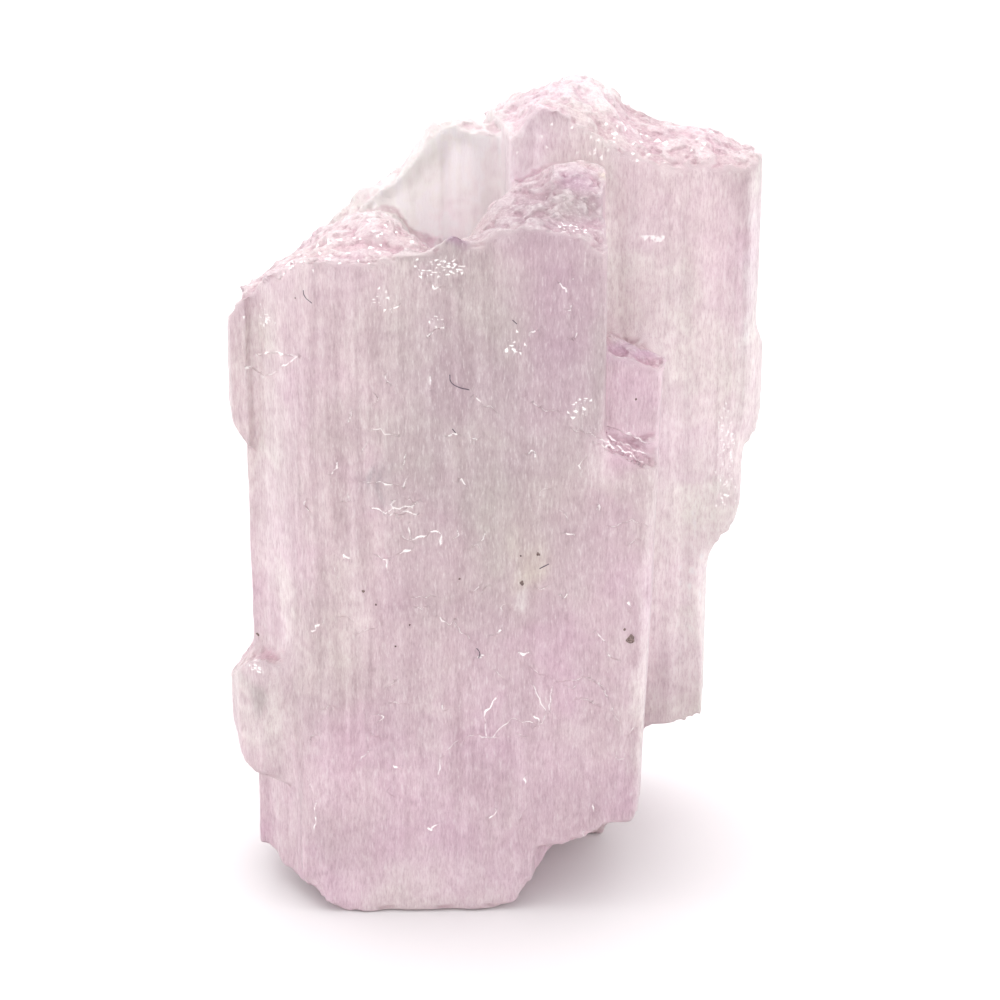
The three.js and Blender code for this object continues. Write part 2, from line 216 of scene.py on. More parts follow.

# Soft patches of colour: middle and half sizes in millimetres, colour and strength. Some of them are painted
# light and shade, as told above them. Their edges wander with this period and by this much.
PATCHES = {
    # The front darker: partly the crystal's mauve, partly painted shade on the side that faces the dimmer
    # front.
    "front": ((-1.2, -8.7, 18), (11, 2.8, 21), VEIL, 1),
    "foot": ((-2, -8.7, -2), (12, 9, 16), LILAC, 0.75),
    # Painted highlight along the bottom rim.
    "bottom rim highlight": ((-2, -8.7, 0.5), (9, 2, 3), PALE, 0.45),
    "front left": ((-7.2, -8.7, 21), (2.5, 2, 13), BODY, 0.45),
    "lower right": ((5, -8.7, 13), (3.5, 4, 8), LILAC, 0.35),
    "upper middle": ((-1, -8.7, 27), (4.5, 2, 7), GREEN_GREY, 0.6),
    "upper right": ((3.4, -8.7, 31), (2.2, 2, 4), MAUVE, 0.8),
    "notch edge": ((4.6, -8.7, 27.5), (0.8, 1.5, 4), GREEN_GREY, 0.6),
    "dashes": ((-5.3, -8.7, 23.2), (1.3, 0.8, 1.5), GREEN_GREY, 0.8),
    "left dash": ((-6, -8.7, 23.4), (0.16, 0.6, 0.9), GREY, 0.7),
    "middle dash": ((-5.4, -8.7, 23), (0.16, 0.6, 1.2), GREY, 0.7),
    "right dash": ((-4.8, -8.7, 23.6), (0.14, 0.6, 0.8), GREY, 0.6),
    "left bevel": ((-10.8, -6.2, 20), (1.2, 1.8, 16), PALE, 0.5),
    "lump": ((-12, -6.6, 10.5), (1.6, 1.6, 2.6), PALE, 0.6),
    # Painted shade on the dark facets of the lump.
    "lump painted shade": ((-12, -6.8, 11), (0.5, 1, 1), GREEN_GREY, 0.8),
    "back right": ((11, 0, 15), (5, 5, 14), PALE, 0.9),
    "back foot": ((1, 8.5, 3), (12, 6, 10), LILAC, 0.6),
    "back veil": ((2, 8.5, 24), (7, 3, 11), VEIL, 0.45),
    # Painted highlight along the back block's right edge.
    "back edge highlight": ((12.7, -0.8, 31), (0.6, 2, 7), WHITE, 0.8),
    # Painted highlight along the right edge of the front.
    "right edge highlight": ((7.2, -8.3, 12), (0.5, 1.2, 12), PALE, 0.8),
    "over the notch": ((6.8, 0, 29.5), (2.6, 3, 5), PALE, 0.9),
    "back left": ((3, 0.5, 37), (2.5, 2.5, 2.5), PALE, 0.6),
    "stain": ((1.4, -8.7, 18.8), (1, 0.6, 1.4), CREAM, 0.4),
    "stain foot": ((1.2, -8.7, 17.2), (0.4, 0.5, 0.6), WHITE, 0.5),
    "cloud": ((4.7, -8.7, 24), (0.9, 1, 1.3), PALE, 0.5),
    "ledge": ((-7, -5, 34), (5, 4, 1.5), ROSE, 0.7),
    "knob": ((-1.9, -8.5, 34.9), (0.9, 1.2, 0.6), PURPLE, 0.9),
    "shelf": ((6.4, -6.4, 28.8), (1.8, 2.2, 0.6), PURPLE, 0.8),
    "recess": ((6.4, -7.5, 26.5), (1.7, 1.5, 2.4), LILAC, 0.6),
    "slanting ledge": ((6.2, -7.6, 24.5), (2.2, 1.8, 1.2), PINK, 1),
    "middle tier": ((1.8, -6.5, 36), (3.8, 3, 1.8), MAUVE, 0.9),
    "middle knob": ((3.6, -4.7, 36.8), (1, 1.2, 0.7), PURPLE, 0.6),
    "green patch": ((3.7, -6.3, 35.7), (1.3, 1, 0.7), GREEN_GREY, 0.8),
    "back band": ((7, 0.5, 37.3), (7, 3, 1.1), ROSE, 0.8),
    "peak": ((4.5, 3, 39), (2.2, 2.2, 1), WHITE, 1),
    # The dome whitened: partly its paler, clearer crystal, partly painted light coming through it from
    # behind.
    "dome": ((-2.6, 1.5, 33.5), (6, 4, 8), WHITE, 1),
    "speck": ((5.1, -4.1, 36.8), (0.3, 0.5, 0.25), YELLOW, 1),
}
PATCH_EDGE_PERIOD = 1.6 * MM
PATCH_EDGE_DRIFT = 0.7 * MM

# Clouds inside the crystal: period across and along the blades, and how far they change each colour.
CLOUDS = [
    (3.2 * MM, 4.2 * MM, (-0.01, 0.08, -0.01)),
    (2.2 * MM, 3 * MM, (0.08, 0.08, 0.08)),
    (0.9 * MM, 0.8 * MM, (0.06, 0.11, 0.07)),
    (0.5 * MM, 0.5 * MM, (0.1, 0.13, 0.12)),
]

# Long crisp lines along the blades, light and dark: period across and along them and how far they change
# each colour, the levels of their noise at which a line begins and is full, and the soft patches in which
# they lie, as middle and half sizes in millimetres and strength.
LINES = [
    (0.3 * MM, 4.5 * MM, (0.14, 0.17, 0.16)),
    (1.1 * MM, 16 * MM, (0.05, 0.07, 0.065)),
]
LINE_LEVELS = (0.06, 0.3)
LINED = {
    "everywhere": ((0, 0, 20), (40, 40, 40), 0.35),
    "left": ((-7.3, -8.7, 21), (2.8, 3, 14), 1),
    "upper middle": ((-2.5, -8.7, 28), (3.2, 2, 6), 0.8),
    "low middle": ((-2, -8.7, 8), (5, 2, 6), 0.6),
}

# Painted shade makes hollows pinker and a painted highlight makes ridges whiter: the rounds of smoothing
# that they are told by, the depths at which the shade begins and is full, the painted shade of a hollow, the
# share of painted white on a ridge, and the share of both that an upright face keeps.
HOLLOW_ROUNDS = 4
HOLLOW_FROM = 0.008 * MM
HOLLOW_FULL = 0.05 * MM
HOLLOW_PAINTED_SHADE = (0.9, 0.79, 0.84)
RIDGE_PAINTED_HIGHLIGHT = 0.25
UPRIGHT_HOLLOW = 0.2

# Optics of the crystal: how far it lets light through, its refraction, the colour that light takes on inside
# it and how fast, and its roughness from the dark of the grain to the bright. Its painted glints, on the
# flake rims and in the sparkling specks, let no light through and have this share of white.
TRANSMISSION = 0.5
REFRACTION = 1.66
ABSORPTION_COLOR = (0.5, 0.14, 0.16)
ABSORPTION_DENSITY = 9
ROUGHNESS = (0.5, 0.3)
GLINT_MATERIAL_WHITE = 0.65

# Fine flaky grain of the material: periods of the streaks on upright faces and of the grain on broken ones,
# the finer noise in them, the shades along the noise, with crisp steps, and the levels between which the
# roughness changes. Then the levels between which its specks turn white as painted glints, the most white
# that they get, and the strength and height of its relief.
STREAK = (0.1 * MM, 0.1 * MM, 0.45 * MM)
GRAIN = (0.16 * MM, 0.16 * MM, 0.16 * MM)
GRAIN_DETAIL = 2
GRAIN_ROUGHNESS = 0.75
GRAIN_SHADES = [
    (0.3, (0.76, 0.71, 0.73)),
    (0.43, (0.88, 0.83, 0.86)),
    (0.44, (0.97, 0.95, 0.96)),
    (0.52, (0.89, 0.85, 0.87)),
    (0.53, (1, 1, 1)),
]
GRAIN_LEVELS = (0.35, 0.65)
SPECK_GLINT_LEVELS = (0.58, 0.76)
SPECK_GLINT_WHITE = 0.4
GRAIN_BUMP = 0.35
GRAIN_HEIGHT = 0.02 * MM

# The clear dome, where the grain shows less by this share, keeping its painted light bright: middle and half
# sizes in millimetres.
CALM_MIDDLE = (-2.6, 1.5, 33.5)
CALM_HALF = (5, 4, 6)
CALM_SHARE = 0.8

# Lint on the front face as [x, z] points in millimetres, the radius and roundness of its fibres, and their
# colours.
LINT = {
    "arc": [(-2.2, 28.4), (-2.15, 28.05), (-1.85, 27.8), (-1.3, 27.65)],
    "upper left": [(-8.9, 32.4), (-8.85, 32.15), (-8.5, 31.9)],
    "upper right": [(0.7, 31.1), (0.9, 30.9)],
    "middle": [(-2.1, 25.7), (-1.95, 25.5)],
    "by the stain": [(2, 18.65), (2.45, 18.9)],
    "low": [(-1, 14.45), (-0.85, 14.2), (-0.9, 13.95)],
}
LINT_RADIUS = 0.025 * MM
LINT_ROUNDNESS = 1
LINT_DARK = (0.05, 0.045, 0.06)
LINT_LIGHT = (0.2, 0.16, 0.2)

# Grit on the front face: [x, z] place and radius in millimetres. Its depth is this share of its width. Then
# how lumpy it is, its roundness and its colours.
GRIT = {
    "right": ((6.4, 15), 0.2),
    "over it": ((6.1, 15.5), 0.06),
    "under the stain": ((1.15, 17.9), 0.12),
    "over the stain": ((1.95, 19.4), 0.1),
    "beside the stain": ((1.1, 19.3), 0.05),
    "middle": ((-1.8, 18.1), 0.06),
    "left": ((-6.4, 17.5), 0.07),
    "lower left": ((-5.8, 16.8), 0.05),
    "low": ((-4.2, 15.7), 0.05),
    "lowest": ((-4.9, 14.6), 0.05),
    "on the lump": ((-11.8, 13.7), 0.09),
    "by the lint": ((-9.3, 31.9), 0.04),
    "in the recess": ((6.5, 26.8), 0.05),
}
GRIT_DEPTH = 0.5
GRIT_LUMPS = 0.8
GRIT_ROUNDNESS = 2
GRIT_DARK = (0.05, 0.03, 0.03)
GRIT_LIGHT = (0.3, 0.22, 0.2)

# The mottling of lint and grit, as the period and levels of its noise, and their roughness. The rays that
# find the front for them start this far before it.
DUST_PERIOD = 0.04 * MM
DUST_LEVELS = (0.35, 0.65)
DUST_ROUGHNESS = 0.8
RAY_LEAD = 1 * MM

# Shifts of the noise, which keep its patterns from agreeing with each other.
SPARKLE_SHIFT = 3
WOBBLE_SHIFTS = (5, 11)
WEAR_SHIFT = 13
STRIATION_SHIFT = 17
FRACTURE_SHIFT = 23
DRIFT_SHIFTS = (31, 47, 59)
FLAKE_GAP_SHIFT = 37
TERRACE_SHIFT = 71
CLOUD_SHIFT = 83
LINE_SHIFT = 97

# Camera: place, downward tilt in degrees, lens and sensor in millimetres as a camera gives them, and the
# nearest that it sees.
CAMERA_PLACE = (0.125 * MM, -135.883 * MM, 73.606 * MM)
CAMERA_TILT = 22
CAMERA_LENS = 105
CAMERA_SENSOR = 36
CAMERA_NEAR = 10 * MM

# Studio: a wide pale floor, a bright tent that is darker towards the front, between these levels of the
# direction's Y, and a soft panel above.
FLOOR_SIZE = 3
FLOOR_DROP = 0.02 * MM
FLOOR_COLOR = (0.65, 0.625, 0.635)
FLOOR_ROUGHNESS = 0.9
FLOOR_SHINE = 0.1
TENT_LIGHT = 1.88
FRONT_LIGHT = 1.46
FRONT_LEVELS = (-0.9, -0.1)
PANEL_PLACE = (-0.05, 0.12, 0.5)
PANEL_SIZE = 0.5
PANEL_WATTS = 1.2

# How often light may bounce, in all and by the kind of bounce.
BOUNCES = {
    "max_bounces": 10,
    "diffuse_bounces": 4,
    "glossy_bounces": 6,
    "transmission_bounces": 10,
}


def smooth_step(values, start, full):
    """From 0 at start to 1 at full, with soft ends."""
    share = np.clip((values - start) / (full - start), 0, 1)
    return share * share * (3 - 2 * share)


def sampled(points, periods, shift):
    """Smooth noise, from about -1 to 1, with its own period along each axis."""
    spots = points / np.array(periods) + shift
    return np.array([noise.noise(spot) for spot in spots.tolist()])


def terraced(heights, step, rise):
    """The heights gathered into flat treads with steep rises between them."""
    level = heights / step
    tread = np.floor(level)
    return (tread + smooth_step(level - tread, 1 - rise, 1)) * step


def read_vertices(mesh, name):
    """A vertex property of three numbers as rows."""
    values = np.empty(len(mesh.vertices) * 3, np.float32)
    mesh.vertices.foreach_get(name, values)
    return values.reshape(-1, 3).astype(float)


def read_faces(mesh, name):
    """A face property of three numbers as rows."""
    values = np.empty(len(mesh.polygons) * 3, np.float32)
    mesh.polygons.foreach_get(name, values)
    return values.reshape(-1, 3).astype(float)


def write_places(mesh, places, box):
    """Puts the vertices at these places, held within the box."""
    held = np.clip(places, np.array(box[0]), np.array(box[1]))
    mesh.vertices.foreach_set("co", held.astype(np.float32).ravel())
    mesh.update()


def apply_modifiers(piece):
    """Replaces the piece's mesh by what its modifiers make of it."""
    graph = bpy.context.evaluated_depsgraph_get()
    made = bpy.data.meshes.new_from_object(piece.evaluated_get(graph))
    piece.modifiers.clear()
    piece.data = made


def line_distance(spots, line):
    """How far each [x, z] spot is from a line, less than zero to the right of it."""
    nearest = np.full(len(spots), np.inf)
    side = np.ones(len(spots))
    corners = np.array(line) * MM
    for start, end in zip(corners, corners[1:]):
        along = end - start
        share = np.clip((spots - start) @ along / (along @ along), 0, 1)
        away = spots - start - share[:, None] * along
        length = np.hypot(away[:, 0], away[:, 1])
        left = along[0] * away[:, 1] - along[1] * away[:, 0] >= 0
        side = np.where(length < nearest, np.where(left, 1, -1), side)
        nearest = np.minimum(length, nearest)
    return nearest * side


def patch_share(points, middle, half):
    """From 1 at the middle of a soft patch to 0 well outside it."""
    away = (points - np.array(middle) * MM) / (np.array(half) * MM)
    return np.exp(-(away * away).sum(axis=1) ** 2)


def broken_share(normals):
    """From 0 on an upright face to 1 on a surface that lies across the blades."""
    return smooth_step(np.abs(normals[:, 2]), BROKEN_FROM, BROKEN_FULL)


def striation_height(points):
    """Relief of the upright faces, which runs along the blades."""
    height = np.zeros(len(points))
    for turn, (across, along, tall) in enumerate(STRIATIONS):
        height += tall * sampled(points, (across, across, along), turn * STRIATION_SHIFT)
    across, along = TERRACE_PERIOD
    slope = TERRACE_THROW * sampled(points, (across, across, along), TERRACE_SHIFT)
    return height + terraced(slope, TERRACE_STEP, TERRACE_RISE)


def fracture_height(points):
    """Relief of the broken surfaces, alike in every direction."""
    height = np.zeros(len(points))
    for turn, (period, tall) in enumerate(FRACTURE):
        height += tall * sampled(points, (period, period, period), turn * FRACTURE_SHIFT)
    return (height + terraced(height, CLIFF_STEP, CLIFF_RISE)) / 2


def raise_relief(mesh, box):
    """Moves the surface along its normals, clear of the foot."""
    points = read_vertices(mesh, "co")
    normals = read_vertices(mesh, "normal")
    broken = broken_share(normals)
    height = (1 - broken) * striation_height(points) + broken * fracture_height(points)
    height = (height - LET_IN) * (points[:, 2] > FOOT_CLEAR)
    write_places(mesh, points + normals * height[:, None], box)


def flake_face(points, normals):
    """True on the front and left faces, where the flakes broke away."""
    return (points[:, 1] < FLAKE_FACE_DEPTH) & (normals[:, 1] < FLAKE_FACING)


def flake_edges():
    """The flake edges drawn above, and the smaller ones strewn between them."""
    chance = np.random.default_rng(SMALL_SEED)
    edges = list(FLAKE_EDGES.values())
    for _ in range(SMALL_FLAKES):
        start = chance.uniform(*SMALL_FIELD)
        headings = chance.uniform(0, 2 * math.pi) + np.cumsum(chance.normal(0, SMALL_BEND, SMALL_LEGS))
        legs = chance.uniform(*SMALL_LEG, SMALL_LEGS)
        moves = np.stack([legs * np.cos(headings), legs * np.sin(headings)], axis=1)
        edges.append(np.vstack([start, start + np.cumsum(moves, axis=0)]))
    return edges


def flake_spots(points):
    """The points as [x, z] spots, shifted a little to and fro so that the flake edges waver."""
    periods = (FLAKE_WOBBLE_PERIOD,) * 3
    shifts = np.stack([sampled(points, periods, shift) for shift in WOBBLE_SHIFTS], axis=1)
    return points[:, [0, 2]] + FLAKE_WOBBLE * shifts


def flake_nearness(points, normals):
    """Distance from the nearest flake edge, on the faces that have them."""
    nearest = np.full(len(points), np.inf)
    facing = flake_face(points, normals)
    spots = flake_spots(points[facing])
    for edge in flake_edges():
        nearest[facing] = np.minimum(nearest[facing], np.abs(line_distance(spots, edge)))
    return nearest


def sparkle_strength(points):
    """How thick the painted glints of the cleavage flakes lie at each point."""
    strength = np.zeros(len(points))
    for middle, half, most in SPARKLES.values():
        strength = np.maximum(strength, most * patch_share(points, middle, half))
    return strength


def refine(mesh, chosen):
    """Splits the triangles whose corners are all chosen into four."""
    work = bmesh.new()
    work.from_mesh(mesh)
    work.verts.ensure_lookup_table()
    edges = [edge for edge in work.edges if chosen[edge.verts[0].index] and chosen[edge.verts[1].index]]
    bmesh.ops.subdivide_edges(work, edges=edges, cuts=1, use_grid_fill=True)
    bmesh.ops.triangulate(work, faces=work.faces[:])
    work.to_mesh(mesh)
    work.free()
    mesh.update()


def refine_details(mesh):
    """Makes the mesh finer along the flake edges and in the sparkling patches."""
    for level in (SPARKLE_FINE, SPARKLE_FINER):
        refine(mesh, sparkle_strength(read_vertices(mesh, "co")) > level)
    for reach in (FLAKE_NEAR, FLAKE_NEAR / 2):
        near = flake_nearness(read_vertices(mesh, "co"), read_vertices(mesh, "normal")) < reach
        refine(mesh, near)


def cut_flakes(mesh, box):
    """Lets the faces in beside the flake edges."""
    points = read_vertices(mesh, "co")
    normals = read_vertices(mesh, "normal")
    facing = flake_face(points, normals)
    spots = flake_spots(points[facing])
    depth = np.zeros(len(points))
    for edge in flake_edges():
        apart = line_distance(spots, edge)
        depth[facing] += np.where(apart < 0, FLAKE_STEP * np.exp(apart / FLAKE_FADE), 0)
    write_places(mesh, points - normals * depth[:, None], box)


def thin_out(surface):
    """Thins the mesh out, but not on the front nor in the sparkling patches."""
    mesh = surface.data
    fine = read_vertices(mesh, "normal")[:, 1] < FINE_FACING
    fine |= sparkle_strength(read_vertices(mesh, "co")) > SPARKLE_FINE
    group = surface.vertex_groups.new(name="plain")
    group.add(np.flatnonzero(~fine).tolist(), 1, "REPLACE")
    mesh.calc_loop_triangles()
    thin = surface.modifiers.new("thin", "DECIMATE")
    thin.vertex_group = group.name
    thin.ratio = KEPT_TRIANGLES / len(mesh.loop_triangles)
    apply_modifiers(surface)


def wear_edges(surface, box):
    """Rounds the edges off, here more and there less."""
    sharp = read_vertices(surface.data, "co")
    smooth = surface.modifiers.new("wear", "SMOOTH")
    smooth.iterations = WEAR_ROUNDS
    apply_modifiers(surface)
    worn = read_vertices(surface.data, "co")
    wear = smooth_step(sampled(sharp, (WEAR_PERIOD,) * 3, WEAR_SHIFT), *WEAR_LEVELS)
    share = WEAR_LEAST + (1 - WEAR_LEAST) * wear
    write_places(surface.data, sharp + (worn - sharp) * share[:, None], box)


def neighbour_means(mesh, values, rounds, share=1):
    """The vertices' values, moved in each round this share of the way to their neighbours' mean."""
    ends = np.empty(len(mesh.edges) * 2, np.int32)
    mesh.edges.foreach_get("vertices", ends)
    here = np.concatenate([ends[::2], ends[1::2]])
    there = np.concatenate([ends[1::2], ends[::2]])
    neighbours = np.bincount(here, minlength=len(values))[:, None]
    for _ in range(rounds):
        sums = [np.bincount(here, values[there, axis], len(values)) for axis in range(3)]
        values = values + share * (np.stack(sums, axis=1) / neighbours - values)
    return values


def ease_patches(mesh, box):
    """Smooths the strips and edges of the solid away in the eased patches."""
    points = read_vertices(mesh, "co")
    share = np.max([patch_share(points, middle, half) for middle, half in EASED.values()], axis=0)
    write_places(mesh, neighbour_means(mesh, points, EASE_ROUNDS, share[:, None]), box)


def make_surface(source, box):
    """The crystal's outer surface, made from its solid."""
    surface = bpy.data.objects.new("crystal_surface", source.data.copy())
    bpy.context.scene.collection.objects.link(surface)
    weld = surface.modifiers.new("weld", "WELD")
    weld.merge_threshold = WELD_WITHIN
    remesh = surface.modifiers.new("remesh", "REMESH")
    remesh.mode = "VOXEL"
    remesh.voxel_size = VOXEL
    apply_modifiers(surface)
    wear_edges(surface, box)
    ease_patches(surface.data, box)
    raise_relief(surface.data, box)
    thin_out(surface)
    refine_details(surface.data)
    cut_flakes(surface.data, box)
    upright = broken_share(read_faces(surface.data, "normal")) < FACETED_FROM
    surface.data.polygons.foreach_set("use_smooth", upright)
    return surface


def drifted(points):
    """The points shifted to and fro, so that the edges of the patches wander."""
    periods = (PATCH_EDGE_PERIOD,) * 3
    drift = np.stack([sampled(points, periods, shift) for shift in DRIFT_SHIFTS], axis=1)
    return points + drift * PATCH_EDGE_DRIFT


def lined(tint, points):
    """The colour with the long lines that run along the blades."""
    share = np.zeros(len(points))
    for middle, half, strength in LINED.values():
        share = np.maximum(share, strength * patch_share(points, middle, half))
    for turn, (across, along, depth) in enumerate(LINES):
        pattern = sampled(points, (across, across, along), LINE_SHIFT + turn)
        line = smooth_step(pattern, *LINE_LEVELS) - smooth_step(-pattern, *LINE_LEVELS)
        tint = tint * (1 + np.array(depth) * (share * line)[:, None])
    return tint


def crystal_tint(points):
    """The crystal's colour at each point, from its soft patches, clouds and lines."""
    spots = drifted(points)
    tint = np.tile(np.array(BODY), (len(points), 1))
    for middle, half, color, strength in PATCHES.values():
        share = strength * patch_share(spots, middle, half)[:, None]
        tint = tint * (1 - share) + np.array(color) * share
    for turn, (across, along, depth) in enumerate(CLOUDS):
        cloud = sampled(spots, (across, across, along), CLOUD_SHIFT + turn)
        tint *= 1 + np.array(depth) * cloud[:, None]
    return lined(tint, points)


def hollow_depth(mesh):
    """How far each point lies below the surface around it, less than zero on a ridge."""
    points = read_vertices(mesh, "co")
    level = neighbour_means(mesh, points, HOLLOW_ROUNDS)
    return ((level - points) * read_vertices(mesh, "normal")).sum(axis=1)


def shaded(tint, depth, broken):
    """The colour darker and pinker on broken faces, partly as painted shade, with painted shade in hollows
    and painted highlights on ridges, above all where the crystal is broken.
    """
    kept = UPRIGHT_HOLLOW + (1 - UPRIGHT_HOLLOW) * broken
    # Painted shade in the hollows and a painted highlight on the ridges.
    hollow = (kept * smooth_step(depth, HOLLOW_FROM, HOLLOW_FULL))[:, None]
    ridge = (kept * RIDGE_PAINTED_HIGHLIGHT * smooth_step(-depth, HOLLOW_FROM, HOLLOW_FULL))[:, None]
    # Broken faces darker and pinker, partly as painted shade.
    tint = tint * (1 - broken[:, None] * (1 - np.array(BROKEN_SHADE)))
    tint = tint * (1 - hollow * (1 - np.array(HOLLOW_PAINTED_SHADE)))
    return np.clip(tint + (np.array(WHITE) - tint) * ridge, 0, 1)


def paint(mesh):
    """Stores the crystal's colour, with its painted shade and highlights, how far its surface is broken and
    how far its grain shows.
    """
    points = read_vertices(mesh, "co")
    broken = broken_share(read_vertices(mesh, "normal"))
    colors = shaded(crystal_tint(points), hollow_depth(mesh), broken)
    mesh.attributes.new("broken", "FLOAT", "POINT").data.foreach_set("value", broken)
    grain = 1 - CALM_SHARE * patch_share(points, CALM_MIDDLE, CALM_HALF)
    mesh.attributes.new("grain", "FLOAT", "POINT").data.foreach_set("value", grain)
    mesh.attributes.new("tint", "FLOAT_VECTOR", "POINT").data.foreach_set("vector", colors.ravel())


def set_materials(mesh):
    """Picks the faces of the painted glints along the rims of the flakes and in the sparkling specks."""
    middles = read_faces(mesh, "center")
    strength = sparkle_strength(middles)
    bright = sampled(middles, SPARKLE_PERIODS, SPARKLE_SHIFT) > SPARKLE_LEVEL - strength
    bright &= strength > SPARKLE_LEAST
    gaps = sampled(middles, (FLAKE_GAP_PERIOD,) * 3, FLAKE_GAP_SHIFT)
    # Painted glints along the flake rims.
    rim = FLAKE_GLINT_RIM * smooth_step(gaps, *FLAKE_GAP_LEVELS)
    bright |= flake_nearness(middles, read_faces(mesh, "normal")) < rim
    mesh.polygons.foreach_set("material_index", bright.astype(np.int32))


def add_absorption(tree):
    """The pink that the light takes on inside the crystal."""
    inside = tree.nodes.new("ShaderNodeVolumeAbsorption")
    inside.inputs["Color"].default_value = (*ABSORPTION_COLOR, 1)
    inside.inputs["Density"].default_value = ABSORPTION_DENSITY
    tree.links.new(inside.outputs["Volume"], tree.nodes["Material Output"].inputs["Volume"])


def attribute(tree, name):
    """A node that reads a stored attribute."""
    reader = tree.nodes.new("ShaderNodeAttribute")
    reader.attribute_name = name
    return reader


def socket(sockets, identifier):
    """The socket with this identifier, where several share a name."""
    return next(item for item in sockets if item.identifier == identifier)


def scaled_places(tree, periods):
    """Places on the object, counted in periods along each axis."""
    places = tree.nodes.new("ShaderNodeTexCoord")
    mapping = tree.nodes.new("ShaderNodeMapping")
    mapping.inputs["Scale"].default_value = [1 / period for period in periods]
    tree.links.new(places.outputs["Object"], mapping.inputs["Vector"])
    return mapping.outputs["Vector"]


def crystal_grain(tree):
    """Fine streaks along the upright faces, and an even grain where the crystal is broken."""
    places = tree.nodes.new("ShaderNodeMix")
    places.data_type = "VECTOR"
    tree.links.new(attribute(tree, "broken").outputs["Fac"], socket(places.inputs, "Factor_Float"))
    tree.links.new(scaled_places(tree, STREAK), socket(places.inputs, "A_Vector"))
    tree.links.new(scaled_places(tree, GRAIN), socket(places.inputs, "B_Vector"))
    pattern = tree.nodes.new("ShaderNodeTexNoise")
    pattern.inputs["Scale"].default_value = 1
    pattern.inputs["Detail"].default_value = GRAIN_DETAIL
    pattern.inputs["Roughness"].default_value = GRAIN_ROUGHNESS
    tree.links.new(socket(places.outputs, "Result_Vector"), pattern.inputs["Vector"])
    return pattern.outputs["Fac"]


def ranged(tree, value, levels, results, curve="LINEAR"):
    """A value that runs from the first result at the first level to the second at the second."""
    node = tree.nodes.new("ShaderNodeMapRange")
    node.interpolation_type = curve
    node.inputs["From Min"].default_value = levels[0]
    node.inputs["From Max"].default_value = levels[1]
    node.inputs["To Min"].default_value = results[0]
    node.inputs["To Max"].default_value = results[1]
    tree.links.new(value, node.inputs["Value"])
    return node.outputs["Result"]


def ramp(tree, value, stops):
    """A colour that follows the value through these stops, each a level and its colour."""
    node = tree.nodes.new("ShaderNodeValToRGB")
    elements = node.color_ramp.elements
    elements.remove(elements[1])
    for turn, (level, color) in enumerate(stops):
        element = elements.new(level) if turn else elements[0]
        element.position = level
        element.color = (*color, 1)
    tree.links.new(value, node.inputs["Fac"])
    return node.outputs["Color"]


def color_mix(tree, blend, share, color):
    """A node that blends a second colour into this one by the share."""
    node = tree.nodes.new("ShaderNodeMix")
    node.data_type = "RGBA"
    node.blend_type = blend
    tree.links.new(share, socket(node.inputs, "Factor_Float"))
    tree.links.new(color, socket(node.inputs, "A_Color"))
    return node


def grainy_color(tree, grain, white):
    """The tint, darker in the dark of the grain and whiter in its specks of painted glint, with this least
    white.
    """
    tint = attribute(tree, "tint").outputs["Vector"]
    shown = attribute(tree, "grain").outputs["Fac"]
    grainy = color_mix(tree, "MULTIPLY", shown, tint)
    tree.links.new(ramp(tree, grain, GRAIN_SHADES), socket(grainy.inputs, "B_Color"))
    # Painted glints: the brightest specks of the grain turn white.
    whiteness = ranged(tree, grain, SPECK_GLINT_LEVELS, (white, max(white, SPECK_GLINT_WHITE)))
    specks = color_mix(tree, "MIX", whiteness, socket(grainy.outputs, "Result_Color"))
    socket(specks.inputs, "B_Color").default_value = (*WHITE, 1)
    return socket(specks.outputs, "Result_Color")


def grainy_material(name, white):
    """The crystal's stuff, with its tint, this share of white for painted glints, and its grain."""
    material = bpy.data.materials.new(name)
    material.use_nodes = True
    tree = material.node_tree
    shader = tree.nodes["Principled BSDF"]
    shader.inputs["IOR"].default_value = REFRACTION
    grain = crystal_grain(tree)
    tree.links.new(grainy_color(tree, grain, white), shader.inputs["Base Color"])
    tree.links.new(ranged(tree, grain, GRAIN_LEVELS, ROUGHNESS), shader.inputs["Roughness"])
    bump = tree.nodes.new("ShaderNodeBump")
    bump.inputs["Strength"].default_value = GRAIN_BUMP
    bump.inputs["Distance"].default_value = GRAIN_HEIGHT
    tree.links.new(grain, bump.inputs["Height"])
    tree.links.new(bump.outputs["Normal"], shader.inputs["Normal"])
    return material


def crystal_material():
    """Striated crystal: see-through, with its pink taken up inside it."""
    material = grainy_material("kunzite_body", 0)
    shader = material.node_tree.nodes["Principled BSDF"]
    shader.inputs["Transmission Weight"].default_value = TRANSMISSION
    add_absorption(material.node_tree)
    return material


def dust_material(name, dark, light):
    """Dull dust, mottled from dark to light."""
    material = bpy.data.materials.new(name)
    material.use_nodes = True
    tree = material.node_tree
    shader = tree.nodes["Principled BSDF"]
    shader.inputs["Roughness"].default_value = DUST_ROUGHNESS
    pattern = tree.nodes.new("ShaderNodeTexNoise")
    pattern.inputs["Scale"].default_value = 1
    tree.links.new(scaled_places(tree, (DUST_PERIOD,) * 3), pattern.inputs["Vector"])
    shade = ramp(tree, pattern.outputs["Fac"], zip(DUST_LEVELS, (dark, light)))
    tree.links.new(shade, shader.inputs["Base Color"])
    return material


def surface_tree(mesh):
    """The surface as a tree that rays can be cast at."""
    corners = [vertex.co for vertex in mesh.vertices]
    faces = [face.vertices for face in mesh.polygons]
    return BVHTree.FromPolygons(corners, faces)


def on_front(tree, spot):
    """The point of the front of the crystal at an [x, z] spot in millimetres."""
    start = Vector((spot[0] * MM, cad_box[0][1] - RAY_LEAD, spot[1] * MM))
    return tree.ray_cast(start, Vector((0, 1, 0)))[0]


